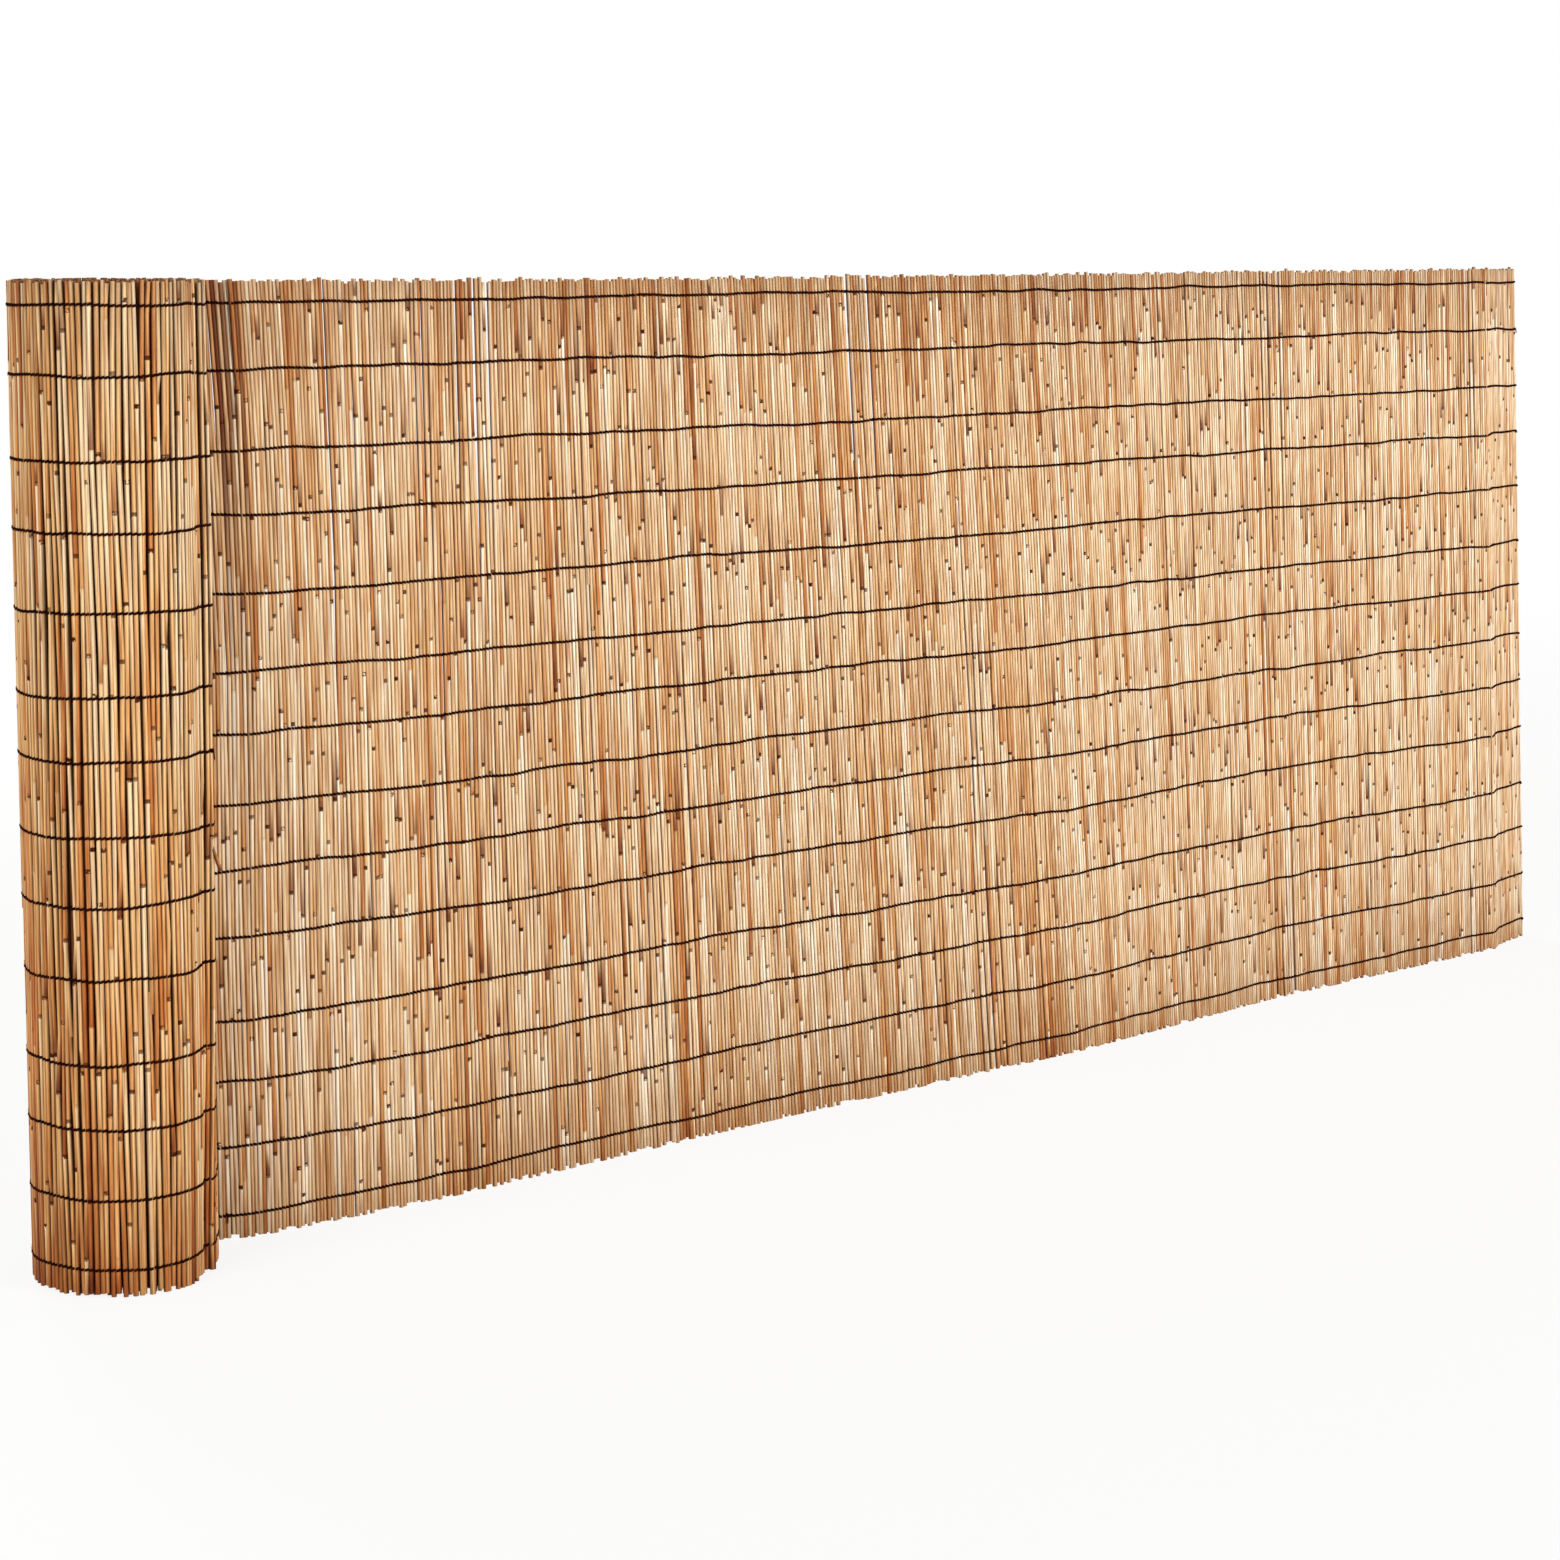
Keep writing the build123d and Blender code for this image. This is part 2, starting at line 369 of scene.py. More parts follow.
@dataclass
class MatPlan:
    """Plan of the mat: the line of its middle, along the open sheet and round the roll."""

    roll_x: float
    roll_y: float
    reed_circle: float = 91.5 * MM
    turn_pitch: float = 7.0 * MM
    leaving_heading: float = -39.9
    half_height: float = 500.0 * MM
    # Length in mm, the turn that follows it and the lean at its end in degrees, as the solids have them.
    sheet_runs: tuple[tuple[float, float, float], ...] = (
        (80.0, 19.9, 0.0), (40.0, 15.4, 0.0), (200.0, 5.4, 0.8), (510.0, -1.8, 3.7), (450.0, 5.0, 4.9),
        (425.0, -4.4, 3.6), (488.0, 28.0, 3.6), (30.0, -16.7, 3.6), (85.0, 0.0, 3.6))
    # The outer turn is slack at its front right: angle from where the sheet leaves it, and radius in mm.
    slack: tuple[Pair, ...] = (
        (226.0, 91.5), (240.0, 89.8), (250.0, 86.2), (258.0, 82.8), (261.0, 83.4), (266.7, 91.4),
        (271.0, 89.6), (280.0, 88.0), (294.0, 91.5))
    # Degrees in which the slack stems' lean and bow grow and fade, and turns in which the dent dies out.
    slack_ramps: Pair = (34.0, 27.0)
    slack_turns: float = 6.0
    slack_lean: float = -0.0084
    slack_bow: float = 4.2 * MM
    tuck_start: float = 318.0
    heading_step: float = 1.5
    corners: list[PlanSpot] = field(default_factory=list)

    def __post_init__(self) -> None:
        """Work out the sheet's corners."""
        heading = math.radians(self.leaving_heading)
        x = self.roll_x - self.reed_circle * math.sin(heading)
        y = self.roll_y + self.reed_circle * math.cos(heading)
        self.corners = [PlanSpot(x, y, heading, 0.0)]
        for length, turn, lean in self.sheet_runs:
            x += length * MM * math.cos(heading)
            y += length * MM * math.sin(heading)
            self.corners.append(PlanSpot(x, y, heading, math.tan(math.radians(lean))))
            heading += math.radians(turn)

    def sheet_length(self) -> float:
        """Give the open sheet's length."""
        return sum(run[0] for run in self.sheet_runs) * MM

    def on_sheet(self, distance: float) -> PlanSpot:
        """Find a place on the open sheet.

        Args:
            distance: Metres from where the sheet leaves the roll.

        Returns:
            The place, with the heading of its run.
        """
        for start, end in zip(self.corners, self.corners[1:]):
            run = math.hypot(end.x - start.x, end.y - start.y)
            if distance <= run or end is self.corners[-1]:
                part = distance / run
                return PlanSpot(start.x + part * (end.x - start.x), start.y + part * (end.y - start.y),
                                end.heading, start.lean + part * (end.lean - start.lean))
            distance -= run
        return self.corners[-1]

    def slack_offset(self, angle: float) -> float:
        """Find how far out of its circle the outer turn is.

        Args:
            angle: Degrees from where the sheet leaves the roll.

        Returns:
            Metres outwards, less than nought where the turn is dented.
        """
        for (a0, r0), (a1, r1) in zip(self.slack, self.slack[1:]):
            if a0 <= angle <= a1:
                return (r0 + (r1 - r0) * (angle - a0) / (a1 - a0)) * MM - self.reed_circle
        return 0.0

    def winding(self, angle: float) -> Pair:
        """Find the plan point of the winding.

        Args:
            angle: Degrees round the roll from where the sheet leaves it, 360 for each turn.

        Returns:
            The point. Each turn keeps its circle and tucks in under the one before near its end.
        """
        turns, within = divmod(angle, 360.0)
        tuck = max(0.0, (within - self.tuck_start) / (360.0 - self.tuck_start))
        offset = self.slack_offset(within)
        if turns > 0:
            offset = min(0.0, offset) * max(0.0, 1.0 - turns / self.slack_turns)
        radius = self.reed_circle + offset - self.turn_pitch * (turns + tuck * tuck * (3 - 2 * tuck))
        plan_angle = math.radians(self.leaving_heading + 90.0 + angle)
        return (self.roll_x + radius * math.cos(plan_angle), self.roll_y + radius * math.sin(plan_angle))

    def on_roll(self, angle: float) -> PlanSpot:
        """Find a place on the roll's winding.

        Args:
            angle: Degrees round the roll from where the sheet leaves it, 360 for each turn.

        Returns:
            The place, with the heading of the winding there.
        """
        x, y = self.winding(angle)
        behind, ahead = self.winding(angle - self.heading_step), self.winding(angle + self.heading_step)
        heading = math.atan2(ahead[1] - behind[1], ahead[0] - behind[0])
        first, last = self.slack[0][0], self.slack[-1][0]
        growing, fading = self.slack_ramps
        share = max(0.0, min(1.0, (angle - first) / growing, (last - angle) / fading))
        bow = share * self.slack_bow / self.reed_circle
        return PlanSpot(x, y, heading, share * self.slack_lean,
                        bow * (x - self.roll_x), bow * (y - self.roll_y))

    def length_to(self, angle: float) -> float:
        """Give the length of the outer turn up to an angle in degrees."""
        points = [self.winding(float(step)) for step in range(int(angle) + 1)]
        return sum(math.dist(a, b) for a, b in zip(points, points[1:]))

    def on_outer_turn(self, distance: float) -> PlanSpot:
        """Find a place on the outer turn.

        Args:
            distance: Metres along it from where the sheet leaves the roll.

        Returns:
            The place, with the heading of the winding there.
        """
        angle = 0.0
        while angle < 360.0:
            step = math.dist(self.winding(angle), self.winding(angle + 1.0))
            if step >= distance:
                return self.on_roll(angle + distance / step)
            distance -= step
            angle += 1.0
        return self.on_roll(angle)


@dataclass
class Knot:
    """One point of a stem's line: its height, the radius there and what its skin looks like."""

    height: float
    reed_radius: float
    shade: float
    node: float = 0.0
    tone: float = 0.0
    mark: float = 0.0
    stain: float = 0.0
    cut: float = 0.0


@dataclass
class Stem:
    """One reed, or one piece of a spliced reed: its place, size, tones and centre line."""

    spot: PlanSpot
    distance: float
    diameter: float
    low: float
    high: float
    tone: float
    stain_and_edge_shade: float
    aside: float = 0.0
    forward: float = 0.0
    hold: float = 1.0
    stretch_tone: float = 0.0
    line: list[Point] = field(default_factory=list)
    numbers: dict[str, list[float]] = field(default_factory=dict)
    pieces: list["Stem"] = field(default_factory=list)

    def facing(self) -> Point:
        """Give the direction that the mat's front looks in at this stem."""
        return (math.sin(self.spot.heading), -math.cos(self.spot.heading), 0.0)

    def take_looks(self, knots: Sequence[Knot]) -> None:
        """Take the numbers of the line's points from their knots."""
        self.numbers = {name: [getattr(knot, name) for knot in knots] for name in STEM_NUMBERS}

    def at(self, height: float) -> Point:
        """Find the centre line's point at a height.

        Args:
            height: The height above the floor.

        Returns:
            The point, on the piece that is there if the stem is spliced.
        """
        for piece in self.pieces:
            if piece.low <= height <= piece.high:
                return piece.at(height)
        for below, above in zip(self.line, self.line[1:]):
            if height <= above[2]:
                part = (height - below[2]) / max(above[2] - below[2], 1e-6)
                return (below[0] + part * (above[0] - below[0]),
                        below[1] + part * (above[1] - below[1]), height)
        return (self.line[-1][0], self.line[-1][1], height)


@dataclass
class PointCloud:
    """Lines of points with the numbers that each point carries, ready to be made a mesh of edges."""

    points: list[Point] = field(default_factory=list)
    edges: list[tuple[int, int]] = field(default_factory=list)
    numbers: dict[str, list[float]] = field(default_factory=dict)
    facing: list[Point] = field(default_factory=list)

    def add_line(self, points: Sequence[Point], facing: Sequence[Point], **numbers: Sequence[float]) -> None:
        """Add one line.

        Args:
            points: Its points in order.
            facing: The direction that the mat's face looks in at each point.
            numbers: For each attribute name, one number for each point.
        """
        start = len(self.points)
        self.points.extend(points)
        self.facing.extend(facing)
        self.edges.extend((start + i, start + i + 1) for i in range(len(points) - 1))
        for name, values in numbers.items():
            self.numbers.setdefault(name, []).extend(values)

    def to_object(self, name: str) -> bpy.types.Object:
        """Make the object that holds these lines.

        Args:
            name: The object's name.

        Returns:
            An object at the origin, with one attribute for each number.
        """
        mesh = bpy.data.meshes.new(name)
        mesh.from_pydata(self.points, self.edges, [])
        for key, values in self.numbers.items():
            mesh.attributes.new(key, "FLOAT", "POINT").data.foreach_set("value", values)
        flat = [c for vector in self.facing for c in vector]
        mesh.attributes.new("facing", "FLOAT_VECTOR", "POINT").data.foreach_set("vector", flat)
        obj = bpy.data.objects.new(name, mesh)
        bpy.context.scene.collection.objects.link(obj)
        return obj


class NodeTreeMaker:
    """Builds a Geometry Nodes tree and applies it to an object of lines."""

    def __init__(self, name: str, inputs: dict[str, str]) -> None:
        """Start the tree.

        Args:
            name: The tree's name.
            inputs: Names of its inputs with their socket types, apart from the lines and the finish.
        """
        self.tree = bpy.data.node_groups.new(name, "GeometryNodeTree")
        face = self.tree.interface
        face.new_socket("Geometry", in_out="INPUT", socket_type="NodeSocketGeometry")
        face.new_socket("Geometry", in_out="OUTPUT", socket_type="NodeSocketGeometry")
        self.sockets = {label: face.new_socket(label, in_out="INPUT", socket_type=kind).identifier
                        for label, kind in {**inputs, "Finish": "NodeSocketMaterial"}.items()}
        self.given = self.tree.nodes.new("NodeGroupInput").outputs
        self.end = self.tree.nodes.new("NodeGroupOutput")

    def finish(self, geometry: bpy.types.Node) -> "NodeTreeMaker":
        """Realize instances, set the material and end the tree.

        Args:
            geometry: The node that gives the finished shape.

        Returns:
            This maker, with its tree complete.
        """
        real = add_node(self.tree, "GeometryNodeRealizeInstances", {"Geometry": geometry})
        dressed = add_node(self.tree, "GeometryNodeSetMaterial",
                           {"Geometry": real, "Material": self.given["Finish"]})
        self.tree.links.new(dressed.outputs[0], self.end.inputs[0])
        return self

    def apply(self, obj: bpy.types.Object, values: dict[str, Any]) -> bpy.types.Object:
        """Run the tree on an object and keep the result as a plain mesh.

        Args:
            obj: The object of lines.
            values: A value for each named input.

        Returns:
            The same object with its new mesh and no modifier.
        """
        modifier = obj.modifiers.new("shape", "NODES")
        modifier.node_group = self.tree
        for label, value in values.items():
            modifier[self.sockets[label]] = value
        evaluated = obj.evaluated_get(bpy.context.evaluated_depsgraph_get())
        mesh = bpy.data.meshes.new_from_object(evaluated)
        obj.modifiers.remove(modifier)
        old = obj.data
        obj.data = mesh
        mesh.name = obj.name
        bpy.data.meshes.remove(old)
        return obj


def reed_tree(flank_sharpness: float = 1.15, cap_level: float = 0.9) -> NodeTreeMaker:
    """Build the tree that turns centre lines into hollow-ended reed stems.

    Args:
        flank_sharpness: How late the painted shade darkens the skin on its way round to the next stem.
        cap_level: How far a face has to look up or down to be a stem's end.

    Returns:
        The tree, with inputs for the sides, the hollow's width and depth, and the finish.
    """
    maker = NodeTreeMaker("reed_stems", {"Sides": "NodeSocketInt", "Hollow width": "NodeSocketFloat",
                                         "Hollow depth": "NodeSocketFloat"})
    add = partial(add_node, maker.tree)
    given = maker.given
    reed_radius = add("GeometryNodeInputNamedAttribute", {"Name": "reed_radius"}, data_type="FLOAT")
    facing = add("GeometryNodeInputNamedAttribute", {"Name": "facing"}, data_type="FLOAT_VECTOR")
    curve = add("GeometryNodeMeshToCurve", {"Mesh": given["Geometry"]})
    ring = add("GeometryNodeCurvePrimitiveCircle", {"Resolution": given["Sides"], "Radius": 1.0})
    tube = add("GeometryNodeCurveToMesh",
               {"Curve": curve, "Profile Curve": ring, "Scale": reed_radius, "Fill Caps": True})
    normal = add("GeometryNodeInputNormal")
    # How far a point of the skin is turned to the next stem, nought on the mat's faces and one between stems:
    # this sets how much painted shade it gets.
    front = add("ShaderNodeVectorMath", (normal, facing), operation="DOT_PRODUCT")
    squared = add("ShaderNodeMath", (front, front), operation="MULTIPLY")
    turned = add("ShaderNodeMath", (1.0, squared), operation="SUBTRACT")
    flank = add("ShaderNodeMath", (turned, flank_sharpness), operation="POWER")
    flank_shaded = add("GeometryNodeStoreNamedAttribute", {"Geometry": tube, "Name": "flank", "Value": flank},
                  data_type="FLOAT", domain="POINT")
    smooth = add("GeometryNodeSetShadeSmooth", {"Geometry": flank_shaded})
    # The caps at both ends are inset to a rim, and the middle is pushed in as the stem's hollow.
    upright = add("ShaderNodeSeparateXYZ", (normal,)).outputs["Z"]
    level = add("ShaderNodeMath", (upright,), operation="ABSOLUTE")
    is_cap = add("ShaderNodeMath", (level, cap_level), operation="GREATER_THAN")
    flat = add("GeometryNodeSetShadeSmooth", {"Geometry": smooth, "Selection": is_cap, "Shade Smooth": False})
    rim = add("GeometryNodeExtrudeMesh",
              {"Mesh": flat, "Selection": is_cap, "Offset Scale": 0.0, "Individual": True},
              mode="FACES").outputs
    marked = add("GeometryNodeStoreNamedAttribute",
                 {"Geometry": rim["Mesh"], "Selection": rim["Side"], "Name": "cut", "Value": CUT_RIM},
                 data_type="FLOAT", domain="FACE")
    narrowed = add("GeometryNodeScaleElements",
                   {"Geometry": marked, "Selection": rim["Top"], "Scale": given["Hollow width"]},
                   domain="FACE")
    depth = add("ShaderNodeMath", (given["Hollow depth"], -1.0), operation="MULTIPLY")
    hollow = add("GeometryNodeExtrudeMesh",
                 {"Mesh": narrowed, "Selection": rim["Top"], "Offset Scale": depth, "Individual": True},
                 mode="FACES").outputs
    inside = add("FunctionNodeBooleanMath", (hollow["Top"], hollow["Side"]), operation="OR")
    # The hollow's faces are marked for their painted shade.
    hollow_shade = add("GeometryNodeStoreNamedAttribute",
               {"Geometry": hollow["Mesh"], "Selection": inside, "Name": "cut", "Value": CUT_HOLLOW},
               data_type="FLOAT", domain="FACE")
    return maker.finish(hollow_shade)


def wire_tree(bulge_share: float = 0.42) -> NodeTreeMaker:
    """Build the tree that twists a pair of strands round every stem of a row.

    Args:
        bulge_share: How much further out a strand stays on its way round a stem.

    Returns:
        The tree, with inputs for the wire's radius and spread, the twist's rise, the sides and the finish.
    """
    maker = NodeTreeMaker("twisted_wire_pair", {"Wire radius": "NodeSocketFloat", "Sides": "NodeSocketInt",
                                                "Wire spread": "NodeSocketVector",
                                                "Twist rise": "NodeSocketFloat"})
    add = partial(add_node, maker.tree)
    given = maker.given
    phase, reach = (add("GeometryNodeInputNamedAttribute", {"Name": name}, data_type="FLOAT")
                    for name in ("phase", "reach"))
    facing = add("GeometryNodeInputNamedAttribute", {"Name": "facing"}, data_type="FLOAT_VECTOR")
    curve = add("GeometryNodeMeshToCurve", {"Mesh": given["Geometry"]})
    finer = add("GeometryNodeSubdivideCurve", {"Curve": curve, "Cuts": 1})
    sine, cosine = (add("ShaderNodeMath", (phase,), operation=wave) for wave in ("SINE", "COSINE"))
    # The strand hugs the stem's face before it passes between two stems.
    between = add("ShaderNodeMath", (sine, sine), operation="MULTIPLY")
    bulge = add("ShaderNodeMath", (between, bulge_share, 1.0), operation="MULTIPLY_ADD")
    swing = add("ShaderNodeMath", (cosine, bulge), operation="MULTIPLY")
    across = add("ShaderNodeMath", (swing, reach), operation="MULTIPLY")
    rise = add("ShaderNodeMath", (sine, given["Twist rise"]), operation="MULTIPLY")
    ring = add("GeometryNodeCurvePrimitiveCircle",
               {"Resolution": given["Sides"], "Radius": given["Wire radius"]})
    squared = add("GeometryNodeTransform", {"Geometry": ring, "Rotation": (0.0, 0.0, math.pi / 4)})
    profile = add("GeometryNodeTransform", {"Geometry": squared, "Scale": given["Wire spread"]})
    joined = add("GeometryNodeJoinGeometry")
    for side in (1.0, -1.0):
        out, up = (add("ShaderNodeMath", (move, side), operation="MULTIPLY") for move in (across, rise))
        sideways = add("ShaderNodeVectorMath", {0: facing, "Scale": out}, operation="SCALE")
        upwards = add("ShaderNodeCombineXYZ", {"Z": up})
        offset = add("ShaderNodeVectorMath", (sideways, upwards), operation="ADD")
        strand = add("GeometryNodeSetPosition", {"Geometry": finer, "Offset": offset})
        level = add("GeometryNodeSetCurveNormal", {"Curve": strand}, mode="Z_UP")
        tube = add("GeometryNodeCurveToMesh", {"Curve": level, "Profile Curve": profile, "Fill Caps": True})
        maker.tree.links.new(tube.outputs[0], joined.inputs[0])
    return maker.finish(add("GeometryNodeSetShadeSmooth", {"Geometry": joined}))


def tail_tree() -> NodeTreeMaker:
    """Build the tree that makes a round wire along each line, for knots and tails.

    Returns:
        The tree, with inputs for the wire's radius, the sides and the finish.
    """
    maker = NodeTreeMaker("single_wire", {"Wire radius": "NodeSocketFloat", "Sides": "NodeSocketInt"})
    add = partial(add_node, maker.tree)
    given = maker.given
    curve = add("GeometryNodeMeshToCurve", {"Mesh": given["Geometry"]})
    profile = add("GeometryNodeCurvePrimitiveCircle",
                  {"Resolution": given["Sides"], "Radius": given["Wire radius"]})
    tube = add("GeometryNodeCurveToMesh", {"Curve": curve, "Profile Curve": profile, "Fill Caps": True})
    return maker.finish(add("GeometryNodeSetShadeSmooth", {"Geometry": tube}))


@dataclass(frozen=True)
class Spacing:
    """How a stretch of mat is packed and how its tone changes.

    Stem sizes, their spacing as a share of that, the top edge, splices, kinks and sway, then how much browner
    the stems are at the foot than at the top, which is painted shade, and the tone added at the start and at
    the end of the stretch.
    """

    smallest: float
    largest: float
    closest: float
    widest: float
    top_mean: float
    splice_share: float
    kink: float
    sway: float
    sway_width: float
    height_shading: float
    tone_start: float = 0.0
    tone_end: float = 0.0


SPACINGS: dict[Layer, Spacing] = {
    Layer.OPEN_SHEET: Spacing(smallest=4.9 * MM, largest=5.6 * MM, closest=0.86, widest=0.93,
                              top_mean=5.6 * MM, splice_share=0.08, kink=0.42 * MM, sway=3.2 * MM,
                              sway_width=150.0 * MM, height_shading=-0.04, tone_start=0.09, tone_end=-0.03),
    Layer.OUTER_TURN: Spacing(smallest=5.0 * MM, largest=5.6 * MM, closest=0.96, widest=1.02,
                              top_mean=1.6 * MM, splice_share=0.14, kink=1.8 * MM, sway=5.0 * MM,
                              sway_width=120.0 * MM, height_shading=0.3, tone_start=0.22, tone_end=-0.16),
    Layer.INNER_TURNS: Spacing(smallest=4.5 * MM, largest=5.0 * MM, closest=1.02, widest=1.08,
                               top_mean=2.0 * MM, splice_share=0.0, kink=0.4 * MM, sway=2.0 * MM,
                               sway_width=80.0 * MM, height_shading=0.15),
}


@dataclass
class StemMaker:
    """Grows the reeds of the mat: their places, nodes, kinks and tones.

    A pair is the smallest and the largest of a random size, but straw_tone is a mean and its spread, and
    roll_shadow_edge is a stretch of the sheet. Tones go from 0, pale, to 1, brown.
    """

    plan: MatPlan
    mat_height: float = 1000.0 * MM
    # The ends: how ragged they are, and where along the sheet its top edge gets to its mean depth.
    ragged_top: float = 1.3 * MM
    deepest_top: float = 8.0 * MM
    even_top: float = 700.0 * MM
    even_start: float = 0.35
    ragged_bottom: float = 5.0 * MM
    standing_share: float = 0.3
    floor_gap: float = 0.4 * MM
    # Tones of whole stems, and how much of the last stem's tone the next one keeps.
    first_tone: float = 0.3
    kept_tone: float = 0.3
    new_tone: float = 0.7
    ripe_share: float = 0.1
    ripe_tones: Pair = (0.55, 0.95)
    straw_tone: Pair = (0.295, 0.15)
    straw_limit: float = 0.6
    # The first reeds that show beside the roll lie in its shadow: some of them are painted brown, darker
    # still from half height up, as painted shade, with pale ones among them.
    roll_shadow_edge: Pair = (60.0 * MM, 138.0 * MM)
    edge_shades: tuple[float, ...] = (0.0, 0.0, 0.0, 0.75, 1.0)
    brown_tones: Pair = (0.45, 0.7)
    pale_tones: Pair = (0.0, 0.2)
    edge_shade_fade: float = 0.35
    # The first stems of the sheet fan out from behind the roll: their tops are drawn back this far.
    fan_reach: float = 17.0 * MM
    fan_peak: float = 95.0 * MM
    fan_end: float = 330.0 * MM
    fan_foot: float = 550.0 * MM
    fan_packing: float = 0.91
    fan_curve: float = 1.5
    # Sway and kinks. Along the row they fade out at both of its ends.
    sway_height: float = 230.0 * MM
    sway_offset: float = 3.7
    held_end: float = 60.0 * MM
    kink_room: float = 2.5
    kink_forward: float = 0.26
    # Nodes: their spacing, and shares of the stem's radius at the collar and above it.
    internode: Pair = (120.0 * MM, 300.0 * MM)
    first_node: Pair = (0.1, 0.9)
    end_room: float = 0.014
    collar: float = 1.3 * MM
    fade: float = 7.0 * MM
    ring_rise: float = 0.4
    ring_width: float = 0.98
    swell: Pair = (1.02, 1.13)
    narrowing: Pair = (0.94, 1.0)
    regrowth: float = 1.03
    tip_width: Pair = (0.92, 1.0)
    # Looks of the skin: under a node, at its collar, on its ring, above it and where a sheath ends. The pale
    # values under a node and at its collar are partly a painted highlight on the swelling.
    node_shades: tuple[float, ...] = (-0.5, -0.6, 0.8, 0.7, 0.3)
    foot_shade: float = 0.8
    tip_shade: Pair = (0.1, 0.7)
    collar_node: float = 0.95
    tone_step: Pair = (-0.1, 0.1)
    clear_marks: Pair = (0.7, 1.0)
    clear_share: float = 0.85
    faint_mark: float = 0.15
    # Rests of leaf sheath above a node, more of them near the top.
    sheath_share: float = 0.24
    old_top: float = 900.0 * MM
    old_factor: float = 2.2
    sheath_strength: Pair = (0.35, 0.95)
    sheath_length: Pair = (15.0 * MM, 60.0 * MM)
    sheath_room: float = 0.01
    # Splices: where they are, how far the pieces lap, and how far they stand aside and in front.
    splice_heights: Pair = (0.12, 0.88)
    lap_mm: Pair = (6.0, 30.0)
    splice_aside_mm: Pair = (0.1, 0.2)
    splice_forward: float = 0.4 * MM

    def row(self, seed: int, length: float, place: Callable[[float], PlanSpot], layer: Layer) -> list[Stem]:
        """Place stems side by side and grow them.

        Args:
            seed: Seed for this row's random sizes.
            length: Length to fill.
            place: Gives the spot at a distance along the row.
            layer: Which stems these are.

        Returns:
            The stems, in order.
        """
        rng = random.Random(seed)
        spacing = SPACINGS[layer]
        is_sheet = layer is Layer.OPEN_SHEET
        stems: list[Stem] = []
        diameter = rng.uniform(spacing.smallest, spacing.largest)
        distance = diameter / 2
        tone = self.first_tone
        stain_and_edge_shade = 0.0
        while distance + diameter / 2 <= length:
            spot = place(distance)
            foot = diameter / 2 * abs(spot.lean) + self.floor_gap
            stands = rng.random() < self.standing_share
            low = foot + (0.0 if stands else rng.uniform(0.0, self.ragged_bottom))
            share = min(1.0, self.even_start + distance / self.even_top) if is_sheet else 1.0
            ragged = min(self.deepest_top, max(0.0, rng.gauss(spacing.top_mean * share, self.ragged_top)))
            tone = self.kept_tone * tone + self.new_tone * self.tone(rng)
            # Painted shade: beside the roll some stems are made brown, as they lie in its shadow.
            if is_sheet and self.roll_shadow_edge[0] < distance < self.roll_shadow_edge[1]:
                stain_and_edge_shade = 0.0 if stain_and_edge_shade > 0.0 else rng.choice(self.edge_shades)
                tone = rng.uniform(*(self.brown_tones if stain_and_edge_shade > 0.0 else self.pale_tones))
            else:
                stain_and_edge_shade = 0.0
            stem = Stem(spot, distance, diameter, low, self.mat_height - foot - ragged, tone, stain_and_edge_shade)
            stem.stretch_tone = spacing.tone_start + (spacing.tone_end - spacing.tone_start) * distance / length
            stem.hold = min(1.0, distance / self.held_end, (length - distance) / self.held_end)
            self.grow(stem, rng, layer, seed)
            stems.append(stem)
            following = rng.uniform(spacing.smallest, spacing.largest)
            packing = self.fan_packing if is_sheet and distance < self.fan_end else 1.0
            distance += (diameter + following) / 2 * rng.uniform(spacing.closest, spacing.widest) * packing
            diameter = following
        return stems

    def splice(self, stems: Sequence[Stem], seed: int, layer: Layer) -> None:
        """Make some stems of two pieces, with the upper one lapped in front of the lower one.

        Args:
            stems: The whole stems.
            seed: Seed for which are spliced and where.
            layer: Which stems these are.
        """
        rng = random.Random(seed)
        for stem in stems:
            if rng.random() >= SPACINGS[layer].splice_share:
                continue
            cut = rng.uniform(*self.splice_heights)
            lap = rng.uniform(*self.lap_mm) * MM
            shift = rng.choice((-1, 1)) * rng.uniform(*self.splice_aside_mm) * MM
            upper = Stem(stem.spot, stem.distance, stem.diameter, cut - lap / 2, stem.high, self.tone(rng),
                         stem.stain_and_edge_shade, -shift, self.splice_forward, stem.hold, stem.stretch_tone)
            lower = Stem(stem.spot, stem.distance, stem.diameter, stem.low, cut + lap / 2, stem.tone, 0.0,
                         shift, -self.splice_forward, stem.hold, stem.stretch_tone)
            stem.pieces = [upper, lower]
            for piece in stem.pieces:
                self.grow(piece, rng, layer, seed)

    def tone(self, rng: random.Random) -> float:
        """Pick how ripe a stem is: mostly pale straw, now and then amber or brown.

        Args:
            rng: The random numbers of this row.

        Returns:
            The tone, from 0, pale, to 1, brown.
        """
        if rng.random() < self.ripe_share:
            return rng.uniform(*self.ripe_tones)
        return min(self.straw_limit, max(0.0, rng.gauss(*self.straw_tone)))

    def swayed(self, stem: Stem, height: float, seed: int, layer: Layer) -> float:
        """Find how far the stems at a place lean aside together, so that they fan and bunch.

        Args:
            stem: The stem.
            height: The height on it.
            seed: Seed of the row's sway.
            layer: Which stems these are.

        Returns:
            Metres along the row.
        """
        spacing = SPACINGS[layer]
        point = Vector((stem.distance / spacing.sway_width, height / self.sway_height,
                        seed * self.sway_offset))
        aside = noise.noise(point) * spacing.sway * stem.hold
        if layer is Layer.OPEN_SHEET and stem.distance < self.fan_end:
            rise = max(0.0, (height - self.fan_foot) / (self.mat_height - self.fan_foot))
            drawn = min(stem.distance / self.fan_peak,
                        (self.fan_end - stem.distance) / (self.fan_end - self.fan_peak))
            aside -= self.fan_reach * rise ** self.fan_curve * drawn
        return aside

